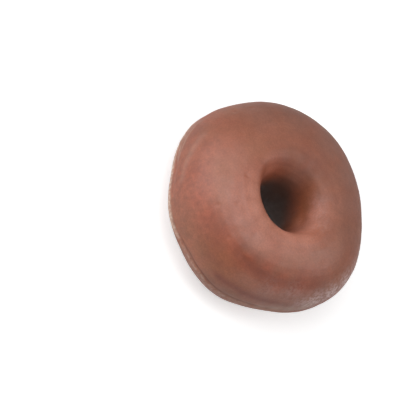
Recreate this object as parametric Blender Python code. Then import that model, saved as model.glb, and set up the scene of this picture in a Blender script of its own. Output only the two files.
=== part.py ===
"""Chocolate glazed doughnut: a ring of cake coated all over in milk chocolate.

Metres, +Z up. It lies flat, and its origin is on the table under the middle of its outline.
The section of the ring is made of four quarters of a superellipse, which meet at the widest
point of the side, at the crest and at the throat of the hole. Low waves round the ring make
it as uneven as a real one, and a lip of set glaze runs round its side.
"""

import math

import bpy
import numpy as np

MM = 0.001

# Main sizes
OUTER_RADIUS = 42.5 * MM
HEIGHT = 38.0 * MM
WAIST_HEIGHT = 16.0 * MM  # where the side stands out furthest
CREST_SHARE = 0.27  # the crest lies this far from the hole towards the side
THROAT_RADIUS = 8.6 * MM  # the hole at its narrowest
THROAT_HEIGHT = 4.0 * MM
HOLE_OFFSET = (2.4 * MM, -2.35 * MM)  # the hole isn't in the middle
BASE_SINK = 1.0 * MM  # how deep the rounded base is pressed flat on the table

# Roundness of each quarter of the section: 2 is an ellipse, more is squarer
OUTER_TOP = 2.0
OUTER_BASE = 2.4
INNER_TOP = 2.4
INNER_BASE = 6.0
INNER_TOP_RISE = 1.85  # less than INNER_TOP: the hole's wall leans back under a full rim

# Waves round the ring: how many, how high, and the direction in degrees of a crest
RIM_WAVES = (
    (2, 1.11 * MM, -16),
    (3, 0.41 * MM, 9),
    (4, 0.82 * MM, 15),
    (5, 0.18 * MM, 6),
    (6, 0.26 * MM, 8),
    (7, 0.19 * MM, -10),
    (8, 0.15 * MM, 20),
)
HOLE_WAVES = (
    (2, 1.15 * MM, 19),
    (3, 0.27 * MM, -44),
)

# The lip where the glaze ran down and set, and the crease above it
LIP_HEIGHT = 12.5 * MM
LIP_WANDER = ((2, 0.7 * MM, 150), (3, 0.5 * MM, 60), (7, 0.25 * MM, 20))
LIP_SIZE = 0.45 * MM
LIP_SPREAD = 1.2 * MM
CREASE_ABOVE_LIP = 3.2 * MM
CREASE_DEPTH = 0.45 * MM
CREASE_SPREAD = 1.0 * MM
LIP_STRONGEST = 262  # degrees round the ring
LIP_WEAKEST_SHARE = 0.35

# Mesh of the ring
SEGMENTS_ROUND_RING = 100
SEGMENTS_ROUND_SECTION = 48
CLOSER_ROWS = 0.5  # rows of faces are this much closer together at the lip
CLOSER_ROWS_ANGLE = math.radians(-10)

GLAZE_COLOUR = (0.27, 0.115, 0.083, 1.0)
GLAZE_ROUGHNESS = 0.45


def clear_scene():
    for obj in list(bpy.data.objects):
        bpy.data.objects.remove(obj, do_unlink=True)


def wave_sum(angle, waves):
    """How far the waves reach at an angle round the ring."""
    total = np.zeros_like(angle)
    for count, height, crest_at in waves:
        total += height * np.cos(count * (angle - math.radians(crest_at)))
    return total


def throat_distance(angle):
    """From the origin to the edge of the off-centre throat, along each angle."""
    radius = THROAT_RADIUS + wave_sum(angle, HOLE_WAVES)
    x, y = HOLE_OFFSET
    along = x * np.cos(angle) + y * np.sin(angle)
    across = y * np.cos(angle) - x * np.sin(angle)
    return along + np.sqrt(radius**2 - across**2)


def bump(distance, spread):
    return np.exp(-((distance / spread) ** 2))


def lip_relief(angle, height):
    """How far the lip stands out of the side, less the crease above it."""
    above_lip = height - LIP_HEIGHT - wave_sum(angle, LIP_WANDER)
    relief = LIP_SIZE * bump(above_lip, LIP_SPREAD)
    relief -= CREASE_DEPTH * bump(above_lip - CREASE_ABOVE_LIP, CREASE_SPREAD)
    near_strongest = 0.5 + 0.5 * np.cos(angle - math.radians(LIP_STRONGEST))
    return relief * (LIP_WEAKEST_SHARE + (1 - LIP_WEAKEST_SHARE) * near_strongest)


def ring_surface(angle, turn):
    """Points of the doughnut: angle runs round the ring, turn round its section."""
    outer, upper = np.cos(turn) >= 0, np.sin(turn) >= 0
    roundness = np.where(
        outer,
        np.where(upper, OUTER_TOP, OUTER_BASE),
        np.where(upper, INNER_TOP, INNER_BASE),
    )
    reach = np.abs(np.cos(turn)) ** (2 / roundness)
    roundness = np.where(upper & ~outer, INNER_TOP_RISE, roundness)
    rise = np.abs(np.sin(turn)) ** (2 / roundness)

    side = OUTER_RADIUS + wave_sum(angle, RIM_WAVES)
    throat = throat_distance(angle)
    crest = throat + CREST_SHARE * (side - throat)
    widest = np.where(outer, WAIST_HEIGHT, THROAT_HEIGHT)

    radius = np.where(outer, crest + (side - crest) * reach, crest - (crest - throat) * reach)
    height = np.where(upper, widest + (HEIGHT - widest) * rise, widest - (widest + BASE_SINK) * rise)
    height = np.maximum(height, 0)
    radius += np.where(outer, lip_relief(angle, height) * reach, 0)
    return np.stack([radius * np.cos(angle), radius * np.sin(angle), height], axis=-1)


def centre_outline(points):
    """Moves the points so that the middle of the outline is over the origin."""
    middle = (points.min(axis=0) + points.max(axis=0)) / 2
    points[:, :2] -= middle[:2]


def glaze_material():
    material = bpy.data.materials.new("chocolate_glaze")
    material.use_nodes = True
    shader = material.node_tree.nodes["Principled BSDF"]
    shader.inputs["Base Color"].default_value = GLAZE_COLOUR
    shader.inputs["Roughness"].default_value = GLAZE_ROUGHNESS
    shader.inputs["Metallic"].default_value = 0.0
    return material


def make_doughnut(collection):
    tube_radius = HEIGHT / 2
    ring_radius = OUTER_RADIUS - tube_radius
    bpy.ops.mesh.primitive_torus_add(
        major_radius=ring_radius,
        minor_radius=tube_radius,
        major_segments=SEGMENTS_ROUND_RING,
        minor_segments=SEGMENTS_ROUND_SECTION,
    )
    doughnut = bpy.context.object
    doughnut.name = doughnut.data.name = "glazed_doughnut"
    for owner in list(doughnut.users_collection):
        owner.objects.unlink(doughnut)
    collection.objects.link(doughnut)

    mesh = doughnut.data
    points = np.empty(len(mesh.vertices) * 3)
    mesh.vertices.foreach_get("co", points)
    x, y, z = points.reshape(-1, 3).T
    angle = np.arctan2(y, x)
    turn = np.arctan2(z, np.hypot(x, y) - ring_radius)
    turn = turn - CLOSER_ROWS * np.sin(turn - CLOSER_ROWS_ANGLE)
    shaped = ring_surface(angle, turn)
    centre_outline(shaped)
    mesh.vertices.foreach_set("co", shaped.ravel())
    mesh.update()
    mesh.shade_smooth()
    mesh.materials.append(glaze_material())


clear_scene()
doughnut_collection = bpy.data.collections.new("chocolate_glazed_doughnut")
bpy.context.scene.collection.children.link(doughnut_collection)
make_doughnut(doughnut_collection)
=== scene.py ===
from math import cos, radians, sin

import bpy
import numpy as np
from mathutils import Matrix, Vector


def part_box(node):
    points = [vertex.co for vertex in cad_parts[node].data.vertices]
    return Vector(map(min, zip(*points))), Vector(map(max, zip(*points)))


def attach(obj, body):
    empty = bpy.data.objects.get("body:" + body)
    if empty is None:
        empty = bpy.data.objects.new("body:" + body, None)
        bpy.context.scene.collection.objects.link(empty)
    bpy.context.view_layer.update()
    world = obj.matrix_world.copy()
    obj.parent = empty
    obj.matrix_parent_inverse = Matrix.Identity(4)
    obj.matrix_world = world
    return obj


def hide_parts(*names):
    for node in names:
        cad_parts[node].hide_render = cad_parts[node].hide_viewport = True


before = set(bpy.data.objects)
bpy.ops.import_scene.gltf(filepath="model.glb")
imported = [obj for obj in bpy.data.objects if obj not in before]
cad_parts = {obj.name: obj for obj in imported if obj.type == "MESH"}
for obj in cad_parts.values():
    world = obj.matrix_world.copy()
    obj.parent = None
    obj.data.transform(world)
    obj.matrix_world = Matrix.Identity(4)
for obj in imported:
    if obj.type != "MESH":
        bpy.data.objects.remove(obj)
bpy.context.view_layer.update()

mm = 0.001
nodeName = "glazed_doughnut"


# small helpers

def deselectAll():
    bpy.ops.object.select_all(action="DESELECT")


def makeActive(piece):
    deselectAll()
    piece.select_set(True)
    bpy.context.view_layer.objects.active = piece


def applyModifier(piece, kind, settings):
    makeActive(piece)
    modifier = piece.modifiers.new(kind.title(), kind)
    for name, value in settings.items():
        setattr(modifier, name, value)
    bpy.ops.object.modifier_apply(modifier=modifier.name)


def meshPoints(piece):
    points = np.empty(len(piece.data.vertices) * 3)
    piece.data.vertices.foreach_get("co", points)
    return points.reshape(-1, 3)


def ringPlaces(piece):
    # for each point, its direction round the ring in degrees, distance from the middle and height
    x, y, height = meshPoints(piece).T
    return np.degrees(np.arctan2(y, x)) % 360, np.hypot(x, y), height


def paintGroup(piece, name, weights):
    # a vertex group painted in code, one weight for each point, in steps of a 64th
    group = piece.vertex_groups.new(name=name)
    steps = np.round(np.clip(weights, 0, 1) * 64).astype(int)
    for step in np.unique(steps[steps > 0]):
        group.add([int(i) for i in np.flatnonzero(steps == step)], step / 64, "REPLACE")
    return group.name


def displace(piece, name, weights, depth):
    # moves the surface along its normals, outwards for a positive depth
    settings = {"vertex_group": paintGroup(piece, name, weights), "strength": depth, "mid_level": 0}
    applyModifier(piece, "DISPLACE", settings)


def paintAttribute(piece, name, values):
    layer = piece.data.attributes.new(name, "FLOAT", "POINT")
    layer.data.foreach_set("value", np.asarray(values, np.float32))


def bell(distance, spread):
    return np.exp(-((distance / spread) ** 2))


def smoothRise(value, start, end):
    # 0 below start, 1 above end
    part = np.clip((value - start) / (end - start), 0, 1)
    return part * part * (3 - 2 * part)


def towards(degrees, centre, spread):
    # 1 at one direction round the ring, falling to 0 on both sides of it
    return bell((degrees - centre + 180) % 360 - 180, spread)


def between(degrees, start, end, soft):
    # 1 between two directions, with soft ends outside them
    return smoothRise(degrees, start - soft, start) * (1 - smoothRise(degrees, end, end + soft))


def alongPath(degrees, path):
    # the path is given as pairs of a direction in degrees and a size in mm
    return np.interp(degrees, *zip(*path)) * mm


# the doughnut's body

body = {
    "segmentsRound": 110,
    "segmentsSection": 48,
    "tube": 21 * mm,         # all round outside the solid, and then wrapped onto it
    "ring": 26 * mm,
    "centre": (1.7 * mm, -1.8 * mm),
    "mergeGap": 0.01 * mm,
    "levels": 2,
    "smoothing": {"factor": 0.5, "iterations": 6},
    "baseFade": (0.4 * mm, 4 * mm),  # heights between which the lumps and ripples set in
    "lumps": (14 * mm, 1, 0.35 * mm),  # size, depth of detail and height
    "ripples": (2.6 * mm, 2, 0.10 * mm),
    "sideFrom": 30 * mm,     # further than this from the middle is the side
}


def mergedCopy(node):
    # the solid's own mesh is loose triangles, so a copy is joined up to wrap against
    guide = node.copy()
    guide.data = node.data.copy()
    guide.name = "wrapGuide"
    guide.parent = None
    for key in list(guide.keys()):
        del guide[key]
    bpy.context.scene.collection.objects.link(guide)
    makeActive(guide)
    bpy.ops.object.mode_set(mode="EDIT")
    bpy.ops.mesh.select_all(action="SELECT")
    bpy.ops.mesh.remove_doubles(threshold=body["mergeGap"])
    bpy.ops.object.mode_set(mode="OBJECT")
    return guide


def addClouds(piece, name, group):
    size, detail, height = body[name]
    texture = bpy.data.textures.new(name, "CLOUDS")
    texture.noise_scale = size
    texture.noise_depth = detail
    applyModifier(piece, "DISPLACE", {
        "texture": texture, "texture_coords": "LOCAL", "strength": height,
        "mid_level": 0.5, "vertex_group": group})


def makeBody():
    low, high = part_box(nodeName)
    deselectAll()
    bpy.ops.mesh.primitive_torus_add(
        major_radius=body["ring"], minor_radius=body["tube"],
        major_segments=body["segmentsRound"], minor_segments=body["segmentsSection"],
        location=(body["centre"][0], body["centre"][1], (low.z + high.z) / 2),
    )
    piece = bpy.context.object
    piece.name = piece.data.name = "glazedRing"
    bpy.ops.object.transform_apply(location=True, rotation=True, scale=True)

    guide = mergedCopy(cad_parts[nodeName])
    wrap = {"target": guide, "wrap_method": "NEAREST_SURFACEPOINT", "wrap_mode": "ON_SURFACE"}
    applyModifier(piece, "SHRINKWRAP", wrap)
    applyModifier(piece, "SUBSURF", {"levels": body["levels"], "render_levels": body["levels"]})
    applyModifier(piece, "SHRINKWRAP", wrap)
    applyModifier(piece, "SMOOTH", body["smoothing"])
    bpy.data.objects.remove(guide)

    # the flat base stays as it is, on the floor
    offBase = paintGroup(piece, "offBase", smoothRise(meshPoints(piece)[:, 2], *body["baseFade"]))
    addClouds(piece, "lumps", offBase)
    addClouds(piece, "ripples", offBase)
    return piece


# the lip of set glaze round the side: a bead with a crease above it and a skirt below, and a
# second bead where the glaze ran twice; painted highlight on the bead, painted sheen on the skirt,
# painted shade in the crease

lip = {
    # direction in degrees and height in mm of the bead's crest
    "path": (
        (0, 13.2), (60, 12.5), (180, 12.5), (198, 12.7), (215, 12.1), (235, 11.7), (252, 11.9),
        (262, 13.0), (272, 14.3), (290, 14.9), (302, 15.3), (312, 15.8), (326, 14.6),
        (345, 13.6), (360, 13.2),
    ),
    "ripple": ((9, 0.12, 30), (17, 0.10, 10), (31, 0.08, 5)),  # how many, how high, first crest
    "size": 0.25 * mm,
    "spread": 0.50 * mm,
    "strongest": 250,        # degrees round the ring
    "reach": 75,
    "elsewhere": 0.2,
    "creased": (258, 318, 12),  # from and to these degrees, with ends this soft
    "creaseAbove": 1.25 * mm,
    "creaseDepth": 0.30 * mm,
    "creaseSpread": 0.50 * mm,
    "skirt": (268, 308, 18),
    "skirtTop": (-0.3 * mm, 0.4 * mm),
    "skirtFoot": (3 * mm, 8 * mm),
    "skirtSheen": 0.5,
    "second": (190, 213, 6),
    "secondAbove": 2.9 * mm,
    "secondSize": 0.25 * mm,
    "secondSpread": 0.42 * mm,
    "secondGlint": 0.6,
    "edge": (192, 252, 12),  # here the lip's edge gets a painted highlight
    "edgeAbove": 0.4 * mm,
    "edgeSpread": 0.85 * mm,
}

# faint streaks of painted highlight on the side: direction and height of both ends, width in mm and
# strength
streaks = (
    (194, 20.4, 200, 19.2, 0.7, 0.6), (200, 19.2, 205, 17.9, 0.6, 0.9),
    (205, 17.9, 211, 17.1, 0.6, 1.0), (211, 17.1, 218, 16.0, 0.7, 0.8),
    (205, 27.0, 212, 25.2, 1.3, 0.3), (212, 25.2, 222, 22.6, 1.3, 0.4),
    (222, 22.6, 232, 21.4, 1.3, 0.35),
)
streakRadius = 41            # in mm, of the side where the streaks are


def lipHeight(degrees):
    height = alongPath(degrees, lip["path"])
    for count, size, crest in lip["ripple"]:
        height += size * mm * np.cos(count * np.radians(degrees - crest))
    return height


def streakCover(degrees, height):
    # the side is taken as laid out flat
    cover = np.zeros(len(degrees))
    scale = radians(streakRadius)
    for startAt, startHeight, endAt, endHeight, width, strength in streaks:
        alongX, alongZ = (endAt - startAt) * scale, endHeight - startHeight
        x, z = (degrees - startAt) * scale, height / mm - startHeight
        part = np.clip((x * alongX + z * alongZ) / (alongX ** 2 + alongZ ** 2), 0, 1)
        gap = np.hypot(x - part * alongX, z - part * alongZ)
        cover = np.maximum(cover, strength * bell(gap, width))
    return cover


def addLip(piece):
    degrees, distance, height = ringPlaces(piece)
    outside = distance > body["sideFrom"]
    above = height - lipHeight(degrees)

    def bead(name, up, spread):
        return outside * between(degrees, *lip[name]) * bell(above - lip[up], lip[spread])

    share = towards(degrees, lip["strongest"], lip["reach"])
    share = lip["elsewhere"] + (1 - lip["elsewhere"]) * share
    raised = outside * share * bell(above, lip["spread"])
    creased = bead("creased", "creaseAbove", "creaseSpread")
    second = bead("second", "secondAbove", "secondSpread")
    displace(piece, "lip", raised, lip["size"])
    displace(piece, "crease", creased, -lip["creaseDepth"])
    displace(piece, "secondBead", second, lip["secondSize"])

    skirt = outside * between(degrees, *lip["skirt"]) * (1 - smoothRise(above, *lip["skirtTop"]))
    skirt = skirt * smoothRise(height, *lip["skirtFoot"])
    edgeGlint = bead("edge", "edgeAbove", "edgeSpread")
    # painted highlight along the bead's crest and painted sheen on the skirt
    paintAttribute(piece, "lipHighlight", np.maximum(raised, lip["skirtSheen"] * skirt))
    # painted highlight streaks on the side
    paintAttribute(piece, "streakHighlight", outside * streakCover(degrees, height))
    # painted shade in the lip's crease
    paintAttribute(piece, "creased", creased)
    # painted highlight on the lip's edge and on the second bead
    paintAttribute(piece, "edgeGlint", np.maximum(edgeGlint, lip["secondGlint"] * second))


# a fold on the near shoulder, and painted shade in the fold and in a band lower down the side

shoulder = {
    # direction in degrees and distance in mm of the fold's line
    "path": ((270, 33.0), (281, 33.4), (299, 34.3), (323, 34.7), (347, 35.9), (360, 36.8)),
    "ends": (287, 345, 9),
    "strongest": 302,
    "reach": 22,
    "elsewhere": 0.45,
    "lowest": 25 * mm,
    "inside": 0.9 * mm,      # it starts sharply on the side of the hole and fades outwards
    "outside": 2.6 * mm,
    "depth": 0.25 * mm,
    # direction in degrees and height in mm of the band's line
    "bandPath": (
        (283, 22.0), (289, 22.4), (300, 23.5), (308, 23.0), (317, 22.7), (328, 22.0), (340, 21.2),
    ),
    "bandEnds": (290, 336, 8),
    "bandSpread": 1.7 * mm,
    "bandShade": 0.85,
}


def addShoulder(piece):
    degrees, distance, height = ringPlaces(piece)
    out = distance - alongPath(degrees, shoulder["path"])
    fold = np.where(out < 0, bell(out, shoulder["inside"]), bell(out, shoulder["outside"]))
    share = towards(degrees, shoulder["strongest"], shoulder["reach"])
    fold *= shoulder["elsewhere"] + (1 - shoulder["elsewhere"]) * share
    fold *= between(degrees, *shoulder["ends"]) * (height > shoulder["lowest"])
    displace(piece, "fold", fold, -shoulder["depth"])

    # measured before the fold was pressed in
    up = height - alongPath(degrees, shoulder["bandPath"])
    band = between(degrees, *shoulder["bandEnds"]) * bell(up, shoulder["bandSpread"])
    band *= shoulder["bandShade"] * (distance > body["sideFrom"])
    # painted shade in the fold and along the band
    paintAttribute(piece, "foldShade", np.maximum(fold, band))


pits = {
    "count": 90,
    "seed": 11,
    "radius": (0.35 * mm, 0.9 * mm),
    "depth": 0.22 * mm,
    "share": (0.4, 1.0),     # of that depth
    "lowest": 4 * mm,
}


def addPits(piece):
    points = meshPoints(piece)
    rng = np.random.default_rng(pits["seed"])
    weights = np.zeros(len(points))
    upper = np.flatnonzero(points[:, 2] > pits["lowest"])
    for middle in rng.choice(upper, pits["count"], replace=False):
        radius = rng.uniform(*pits["radius"])
        share = rng.uniform(*pits["share"])
        gap = np.linalg.norm(points - points[middle], axis=1)
        weights = np.maximum(weights, share * bell(gap, radius))
    displace(piece, "pits", weights, -pits["depth"])


# soft patches, each at a direction in degrees, a distance from the middle and a height
# in mm, with its spread in mm and its strength; they hold painted shade, painted light, painted
# highlight, painted sheen and painted reflection, besides an olive tone and duller gloss

patches = {
    # painted shade
    "paintedShade": (
        (267, 34.6, 32, 5, 0.5), (288, 35, 32, 4, 0.3), (299, 32.9, 34, 4, 0.8),
        (315, 33.2, 33.5, 4, 0.5), (332, 34.4, 32.4, 4, 0.5), (347, 35, 32.2, 4, 0.5),
        (286, 31, 34.8, 4, 0.8), (229, 37.5, 28, 5, 0.3), (202, 41.5, 24, 5, 0.6),
        (208, 38, 29, 5, 0.3), (143, 36.9, 31, 6, 0.3), (160, 38.5, 29, 6, 0.3),
        (5, 30, 36, 7, 0.2), (20, 28, 37, 7, 0.2), (34, 25, 37.4, 7, 0.2), (350, 34.5, 33, 4, 0.3),
        (288, 42, 16, 4, 0.4), (299, 41.5, 20, 5, 0.3), (277, 39, 26, 5, 0.25),
        (93, 14, 37.7, 4, 0.8), (109, 15, 37.8, 5, 0.8), (112, 10, 35, 3.5, 0.6),
        (130, 14, 37, 6, 0.9), (21, 17.8, 37.7, 4, 0.3), (112, 12.5, 37.2, 6, 1.0),
        (56, 13.7, 36.7, 4, 0.7), (150, 14, 37, 6, 0.8), (165, 14, 37, 4, 0.4),
        (75, 14.5, 37.8, 4, 0.5),
    ),
    # painted light
    "paintedLight": (
        (225, 41.5, 15, 4, 0.6), (237, 41.3, 15, 4, 0.8), (250, 41, 15, 4, 0.8),
        (264, 41.5, 15, 4, 0.8), (269, 41, 18, 4, 0.7), (277, 41.7, 18, 4, 0.9),
        (257, 41.3, 14, 4, 0.8), (23, 11.5, 24, 4, 0.8), (190, 12.4, 33, 3.5, 1.0),
        (29, 13.7, 33.7, 3.5, 0.5), (8, 15.5, 35, 4, 0.4), (345, 15, 34.5, 4, 0.5),
        (318, 15.5, 36, 3, 0.6), (303, 38, 29.2, 4, 0.3), (322, 37.8, 28.6, 4, 0.45),
        (338, 37.8, 29, 4, 0.4),
    ),
    # painted highlight on the top round the hole and on the hole's wall
    "highlightTint": (
        (228, 17, 37.4, 4, 0.5), (245, 17.4, 37.8, 5, 0.8), (264, 18.5, 37.9, 5, 0.8),
        (285, 17.5, 37.5, 5, 0.8), (303, 17, 37, 5, 0.9), (318, 17.5, 37, 5, 1.2),
        (337, 17.5, 37.4, 5, 1.2), (355, 14, 33, 4.5, 1.6), (0, 12.5, 27, 4, 0.8),
        (12, 13.5, 32, 4.5, 1.4), (30, 13, 32, 4, 1.3), (46, 12.5, 33.5, 4, 1.0),
        (318, 22, 37.5, 5, 0.4), (190, 12.4, 33, 3.5, 0.4), (14, 12, 23.7, 3.5, 0.6),
        (293, 27, 36.6, 5, 0.5),
    ),
    # painted sheen, pinker where the top and the lower side catch the light
    "pinkSheen": (
        (30, 30, 35, 8, 0.7), (55, 26, 36, 9, 0.9), (80, 27, 36, 10, 1.0), (111, 28, 36, 11, 1.0),
        (143, 31, 34, 12, 1.0), (167, 33, 33, 12, 1.0), (188, 34, 32, 8, 0.5),
        (120, 10, 30, 5, 1.0), (300, 38.3, 29, 4, 0.5), (318, 40, 26, 6, 0.8),
        (327, 38.5, 28, 6, 0.9), (338, 39.5, 27.5, 6, 1.0), (350, 39, 29, 5, 1.0),
        (326, 41.2, 19.7, 4, 0.6), (334, 41.3, 21.3, 5, 0.8), (343, 41.5, 22.8, 5, 0.9),
        (351, 41, 25, 5, 0.8),
    ),
    "olive": (
        (262, 41, 20, 6, 0.6), (272, 41, 22, 7, 0.8), (282, 37.6, 29.3, 5, 0.6),
        (285, 42, 21, 7, 0.9), (300, 41, 22, 5, 0.6), (25, 11.4, 24, 4, 0.8),
        (45, 10.9, 28, 4, 0.9), (59, 10.4, 30, 4, 0.8),
    ),
    # painted shade along the shoulder, redder and darker
    "redShade": (
        (214, 37, 30, 6, 0.6), (230, 38, 28, 6, 0.9), (236, 35.5, 31, 5, 0.7),
        (244, 37, 29.4, 6, 1.0), (257, 35.8, 30.3, 6, 1.0), (270, 33.5, 33, 5, 0.7),
        (281, 33.2, 33.3, 4, 0.8), (295, 33, 34, 4, 1.0), (307, 33, 33.9, 4, 1.0),
        (320, 33.9, 32.8, 4, 0.8), (335, 34.7, 32.3, 4, 0.6),
    ),
    # speckled painted reflection on the lower side and beside the hole
    "speckledReflection": (
        (316, 38, 28.3, 5, 0.15), (332, 38, 28.6, 5, 0.25), (12, 15.9, 35.7, 4, 0.2),
        (29, 13.7, 34, 3.5, 0.25), (46, 12.7, 34, 3.5, 0.25), (342, 41, 24, 4, 0.6),
        (349, 41, 23.5, 5, 1.2), (0, 41, 25, 5, 1.3), (10, 41, 26, 5, 1.3), (20, 41, 26, 5, 0.9),
        (30, 40, 26, 5, 0.5),
    ),
    # painted reflection along the rim
    "rimReflection": (
        (152, 40, 23.5, 3, 0.5), (163, 41, 22, 3, 0.9), (172, 42, 20.5, 3, 0.7),
        (312, 42, 15, 3, 0.5), (321, 41.5, 16, 3.5, 0.8), (330, 41.3, 17, 4, 0.9),
        (338, 41.3, 18, 4, 1.0), (346, 41.5, 19, 4, 1.0),
    ),
    "dull": (
        (25, 16, 37.5, 4, 0.8), (45, 15.5, 37.5, 4, 1), (65, 15, 37.8, 4, 1),
        (85, 14.5, 37.8, 4, 1), (105, 14, 37.8, 4, 1), (125, 13.5, 37.5, 4, 1),
        (150, 13.5, 37, 4, 1), (175, 14.5, 37, 4, 0.7),
    ),
}

# deep in the hole little light gets in
hole = {
    "middle": (1.8 * mm, -2.5 * mm),
    "reach": 17 * mm,
    "paintedShade": (6 * mm, 24 * mm),  # full below the first height and gone above the second
    "darkest": 130,          # in degrees; there the dark reaches higher, as "darkUp" says
    "spread": 55,
    "darkUp": (17 * mm, 11 * mm),
}

# the side that faces left in the photo is blotchy
blotches = {
    "direction": 240,
    "spread": 50,
    "setIn": (30 * mm, 36 * mm),  # distances from the middle
}


def paintPatches(piece):
    points = meshPoints(piece) / mm
    for name, spots in patches.items():
        cover = np.zeros(len(points))
        for direction, distance, height, spread, strength in spots:
            turn = radians(direction)
            spot = (distance * cos(turn), distance * sin(turn), height)
            gap = np.linalg.norm(points - spot, axis=1)
            cover = np.maximum(cover, strength * bell(gap, spread))
        paintAttribute(piece, name, cover)


def paintHole(piece):
    x, y, height = meshPoints(piece).T
    besideX, besideY = x - hole["middle"][0], y - hole["middle"][1]
    share = towards(np.degrees(np.arctan2(besideY, besideX)), hole["darkest"], hole["spread"])
    full, gone = (level + share * up for level, up in zip(hole["paintedShade"], hole["darkUp"]))
    inside = np.hypot(besideX, besideY) < hole["reach"]
    paintAttribute(piece, "deep", inside * (1 - smoothRise(height, full, gone)))


def paintBlotches(piece):
    degrees, distance = ringPlaces(piece)[:2]
    blotched = towards(degrees, blotches["direction"], blotches["spread"])
    paintAttribute(piece, "blotched", blotched * smoothRise(distance, *blotches["setIn"]))


# finish: satin milk chocolate

glaze = {
    # besides the glaze's own colours, some here are painted light: a pinker painted sheen, paler
    # painted highlights and reflections, and the deep painted shade in the hole; the redder one
    # serves both the drift and painted shade
    "colour": (0.350, 0.111, 0.061),
    "redder": (0.370, 0.085, 0.037),
    "olive": (0.330, 0.108, 0.045),
    "pinkSheen": (0.318, 0.127, 0.084),
    "highlightTint": (0.500, 0.195, 0.130),
    "paintedHighlight": (0.60, 0.42, 0.33),
    "edgeGlint": (0.80, 0.62, 0.50),
    "speckledReflection": (0.66, 0.45, 0.42),
    "deep": (0.10, 0.055, 0.040),
    "drift": 0.4,            # how much of the colour drifts redder or more olive all over
    # how far painted shade darkens and painted light lightens
    "darkness": 0.35,
    "lightness": 0.30,
    "mottle": 0.07,          # how much each of these lightens and darkens
    "grain": 0.12,
    "blotch": 0.16,
    # how strongly the painted rim reflection and highlight streaks show
    "rimReflection": 0.4,
    "lipCover": (0.05, 0.85),  # least and most painted highlight on the lip and on its edge, and speckled painted reflection
    "edgeGlintCover": (0.35, 0.9),
    "speckledReflectionCover": (0.1, 0.95),
    "roughness": (0.45, 0.56),
    "dulled": 0.30,
    "refraction": 1.78,
    "bump": 0.25,
    "bumpDistance": 0.12 * mm,
}

noises = {
    # features in a metre, detail, roughness, and the part of the noise that is used
    "drift": (55, 2, 0.5, 0.38, 0.62),
    "mottle": (260, 3, 0.5, 0.3, 0.7),
    "grain": (1500, 2, 0.7, 0.3, 0.7),
    "blotch": (480, 3, 0.6, 0.3, 0.7),
    "lip": (600, 4, 0.7, 0.38, 0.62),
    "edgeGlint": (900, 2, 0.5, 0.40, 0.60),
    "speckledReflection": (800, 3, 0.6, 0.38, 0.62),
    "gloss": (340, 3, 0.5, 0.3, 0.7),
    "relief": (1100, 4, 0.6),  # all of it is used
}

# attributes that tint the colour, in this order, each towards one of the colours above
tints = (
    ("pinkSheen", "pinkSheen"), ("olive", "olive"), ("redShade", "redder"), ("foldShade", "redder"),
    ("highlightTint", "highlightTint"),
)


def newNode(tree, kind, inputs=None, **settings):
    node = tree.nodes.new(kind)
    for name, value in settings.items():
        setattr(node, name, value)
    for name, value in (inputs or {}).items():
        node.inputs[name].default_value = value
    return node


def noiseNode(tree, place, name):
    scale, detail, roughness = noises[name][:3]
    node = newNode(tree, "ShaderNodeTexNoise", {
        "Scale": scale, "Detail": detail, "Roughness": roughness})
    tree.links.new(place, node.inputs["Vector"])
    return node.outputs["Fac"]


def rangeNode(tree, value, fromLow, fromHigh, toLow, toHigh):
    node = newNode(tree, "ShaderNodeMapRange", {
        "From Min": fromLow, "From Max": fromHigh, "To Min": toLow, "To Max": toHigh})
    tree.links.new(value, node.inputs["Value"])
    return node.outputs["Result"]


def feed(tree, socket, value):
    # the value is another node's output, a number or a colour
    if isinstance(value, bpy.types.NodeSocket):
        tree.links.new(value, socket)
    else:
        socket.default_value = (*value, 1) if isinstance(value, tuple) else value


def mixNode(tree, factor, first, second):
    node = newNode(tree, "ShaderNodeMix", data_type="RGBA")
    for index, value in ((0, factor), (6, first), (7, second)):
        feed(tree, node.inputs[index], value)
    return node.outputs[2]


def mathNode(tree, operation, first, second):
    node = newNode(tree, "ShaderNodeMath", operation=operation)
    for socket, value in zip(node.inputs, (first, second)):
        feed(tree, socket, value)
    return node.outputs[0]


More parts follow.
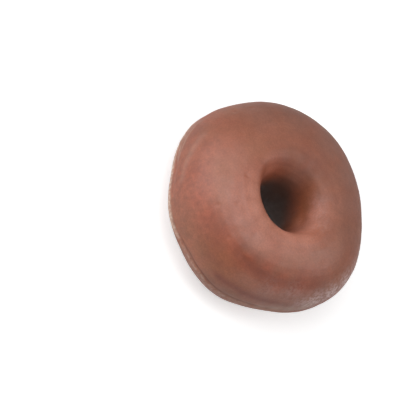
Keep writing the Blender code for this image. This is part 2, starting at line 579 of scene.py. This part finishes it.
def glazeMaterial():
    material = bpy.data.materials.new("satinMilkChocolate")
    material.use_nodes = True
    tree = material.node_tree
    shader = tree.nodes["Principled BSDF"]
    place = newNode(tree, "ShaderNodeTexCoord").outputs["Object"]

    def painted(name):
        return newNode(tree, "ShaderNodeAttribute", attribute_name=name).outputs["Fac"]

    def cloudy(name, low, high):
        return rangeNode(tree, noiseNode(tree, place, name), *noises[name][3:], low, high)

    def times(first, second):
        return mathNode(tree, "MULTIPLY", first, second)

    def larger(first, second):
        return mathNode(tree, "MAXIMUM", first, second)

    # the colour drifts, as set chocolate does, and painted patches tint it: painted sheen, an olive
    # tone, redder painted shade on the shoulder and in the fold, and painted highlight
    tone = mixNode(tree, cloudy("drift", 0, 1), glaze["olive"], glaze["redder"])
    base = mixNode(tree, glaze["drift"], glaze["colour"], tone)
    for name, colour in tints:
        base = mixNode(tree, painted(name), base, glaze[colour])

    # mottle and grain lighten and darken it at random; painted shade in patches, the lip's crease
    # and the fold darkens it, painted light in patches lightens it, and blotches vary it at random
    shade = times(
        cloudy("mottle", 1 - glaze["mottle"], 1 + glaze["mottle"]),
        cloudy("grain", 1 - glaze["grain"], 1 + glaze["grain"]),
    )
    darker = larger(painted("paintedShade"), larger(painted("creased"), painted("foldShade")))
    shade = times(shade, rangeNode(tree, darker, 0, 1, 1, 1 - glaze["darkness"]))
    shade = times(shade, rangeNode(tree, painted("paintedLight"), 0, 1, 1, 1 + glaze["lightness"]))
    blotch = times(cloudy("blotch", -glaze["blotch"], glaze["blotch"]), painted("blotched"))
    shade = times(shade, mathNode(tree, "ADD", 1, blotch))
    shaded = newNode(tree, "ShaderNodeVectorMath", operation="SCALE")
    tree.links.new(base, shaded.inputs[0])
    tree.links.new(shade, shaded.inputs["Scale"])
    # painted shade deep in the hole
    colour = mixNode(tree, painted("deep"), shaded.outputs[0], glaze["deep"])

    # painted highlight on the lip, its edge, the rim and the streaks, and a speckled painted
    # reflection, broken up by noise
    paintedHighlight = times(painted("lipHighlight"), cloudy("lip", *glaze["lipCover"]))
    rimReflection = times(larger(painted("rimReflection"), painted("streakHighlight")), glaze["rimReflection"])
    colour = mixNode(tree, larger(paintedHighlight, rimReflection), colour, glaze["paintedHighlight"])
    edgeGlint = times(painted("edgeGlint"), cloudy("edgeGlint", *glaze["edgeGlintCover"]))
    colour = mixNode(tree, edgeGlint, colour, glaze["edgeGlint"])
    speckledReflection = times(painted("speckledReflection"), cloudy("speckledReflection", *glaze["speckledReflectionCover"]))
    colour = mixNode(tree, speckledReflection, colour, glaze["speckledReflection"])
    tree.links.new(colour, shader.inputs["Base Color"])

    dull = times(painted("dull"), glaze["dulled"])
    gloss = mathNode(tree, "ADD", cloudy("gloss", *glaze["roughness"]), dull)
    tree.links.new(gloss, shader.inputs["Roughness"])
    shader.inputs["IOR"].default_value = glaze["refraction"]

    relief = newNode(tree, "ShaderNodeBump", {
        "Strength": glaze["bump"], "Distance": glaze["bumpDistance"]})
    tree.links.new(noiseNode(tree, place, "relief"), relief.inputs["Height"])
    tree.links.new(relief.outputs["Normal"], shader.inputs["Normal"])
    return material


ring = makeBody()
addLip(ring)
addShoulder(ring)
addPits(ring)
paintPatches(ring)
paintHole(ring)
paintBlotches(ring)
ring.data.materials.clear()
ring.data.materials.append(glazeMaterial())
ring.data.shade_smooth()
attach(ring, "root")
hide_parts(nodeName)
print("doughnut made:", len(ring.data.polygons), "faces")


# pale floor

floor = {
    "width": 6.0,
    "colour": (0.80, 0.80, 0.80),
    "roughness": 0.9,
    "glow": 0.55,            # what the camera sees of it is lifted to white by this much
    "shade": (14 * mm, 30 * mm),  # but not under the doughnut, where its hole shows the floor
}


def makeFloor():
    deselectAll()
    bpy.ops.mesh.primitive_plane_add(size=floor["width"], location=(0, 0, 0))
    plane = bpy.context.object
    plane.name = "floor"
    material = bpy.data.materials.new("paleFloor")
    material.use_nodes = True
    tree = material.node_tree
    shader = tree.nodes["Principled BSDF"]
    shader.inputs["Base Color"].default_value = (*floor["colour"], 1)
    shader.inputs["Roughness"].default_value = floor["roughness"]
    shader.inputs["Specular IOR Level"].default_value = 0.0
    shader.inputs["Emission Color"].default_value = (1, 1, 1, 1)
    seen = newNode(tree, "ShaderNodeLightPath").outputs["Is Camera Ray"]
    reach = newNode(tree, "ShaderNodeVectorMath", operation="LENGTH")
    tree.links.new(newNode(tree, "ShaderNodeTexCoord").outputs["Object"], reach.inputs[0])
    beside = rangeNode(tree, reach.outputs["Value"], *floor["shade"], 0, floor["glow"])
    tree.links.new(mathNode(tree, "MULTIPLY", seen, beside), shader.inputs["Emission Strength"])
    plane.data.materials.append(material)


makeFloor()


# lights and camera

studio = {
    "sky": (1.0, 1.0, 1.0),
    "skyStrength": 0.02,
    "backdrop": 0.6,         # seen behind the floor in low views, and lights nothing
}

lamps = (
    # name, distance in metres, height and direction round the doughnut in degrees, width, watts
    ("rearSoftbox", 0.60, 50, 30, 0.45, 1.13),
    ("highSoftbox", 0.60, 70, 180, 0.45, 0.73),
    ("keyPanel", 0.30, 70, 240, 0.22, 0.252),
    ("leftPanel", 0.30, 30, 210, 0.22, 0.291),
    ("lowFrontSoftbox", 0.60, 10, 240, 0.45, 0.53),
    ("lowRightSoftbox", 0.60, 10, 330, 0.45, 0.41),
    ("lowRearSoftbox", 0.60, 10, 90, 0.45, 0.16),
)

view = {
    "lens": 109.0,
    "sensor": 36,
    "aim": (-0.6 * mm, -0.1 * mm, 19 * mm),
    "elevation": 56.1,
    "distance": 0.5,
    "roll": 60.7,            # the picture is turned clockwise by this many degrees
    "pixelsPerMm": 2.518,
    "aimPixel": (270.6, 203.7),  # where the aim is in the picture
    "frame": 416,
}


def addLamp(name, distance, height, direction, width, power):
    rise, turn = radians(height), radians(direction)
    place = distance * Vector((cos(turn) * cos(rise), sin(turn) * cos(rise), sin(rise)))
    deselectAll()
    bpy.ops.object.light_add(type="AREA", location=place)
    lamp = bpy.context.object
    lamp.name = name
    lamp.data.shape = "DISK"
    lamp.data.size = width
    lamp.data.energy = power
    lamp.rotation_euler = (-place).to_track_quat("-Z", "Y").to_euler()


def lightStudio():
    world = bpy.data.worlds.new("studio")
    world.use_nodes = True
    tree = world.node_tree
    sky = tree.nodes["Background"]
    sky.inputs["Color"].default_value = (*studio["sky"], 1)
    seen = newNode(tree, "ShaderNodeLightPath").outputs["Is Camera Ray"]
    strength = rangeNode(tree, seen, 0, 1, studio["skyStrength"], studio["backdrop"])
    tree.links.new(strength, sky.inputs["Strength"])
    bpy.context.scene.world = world
    for lamp in lamps:
        addLamp(*lamp)


def placeCamera():
    # the camera stands back from the doughnut, aims beside it and is rolled
    rise, roll = radians(view["elevation"]), radians(view["roll"])
    back = Vector((0, -cos(rise), sin(rise)))
    level = Vector((1, 0, 0))
    upright = Vector((0, sin(rise), cos(rise)))
    right = cos(roll) * level + sin(roll) * upright
    up = cos(roll) * upright - sin(roll) * level
    middle = view["frame"] / 2
    besideX = (middle - view["aimPixel"][0]) / view["pixelsPerMm"] * mm
    besideY = (view["aimPixel"][1] - middle) / view["pixelsPerMm"] * mm
    place = Vector(view["aim"]) + view["distance"] * back
    target = Vector(view["aim"]) + besideX * right + besideY * up
    deselectAll()
    bpy.ops.object.camera_add(location=place)
    camera = bpy.context.object
    camera.name = "photoCamera"
    camera.data.lens = view["lens"]
    camera.data.sensor_width = view["sensor"]
    ahead = (target - place).normalized()
    sideways = (right - right.dot(ahead) * ahead).normalized()
    turn = Matrix((sideways, sideways.cross(ahead), -ahead)).transposed()
    camera.rotation_euler = turn.to_euler()
    bpy.context.scene.camera = camera


lightStudio()
placeCamera()
bpy.context.scene.view_settings.view_transform = "Standard"
print("floor, lights and camera placed")
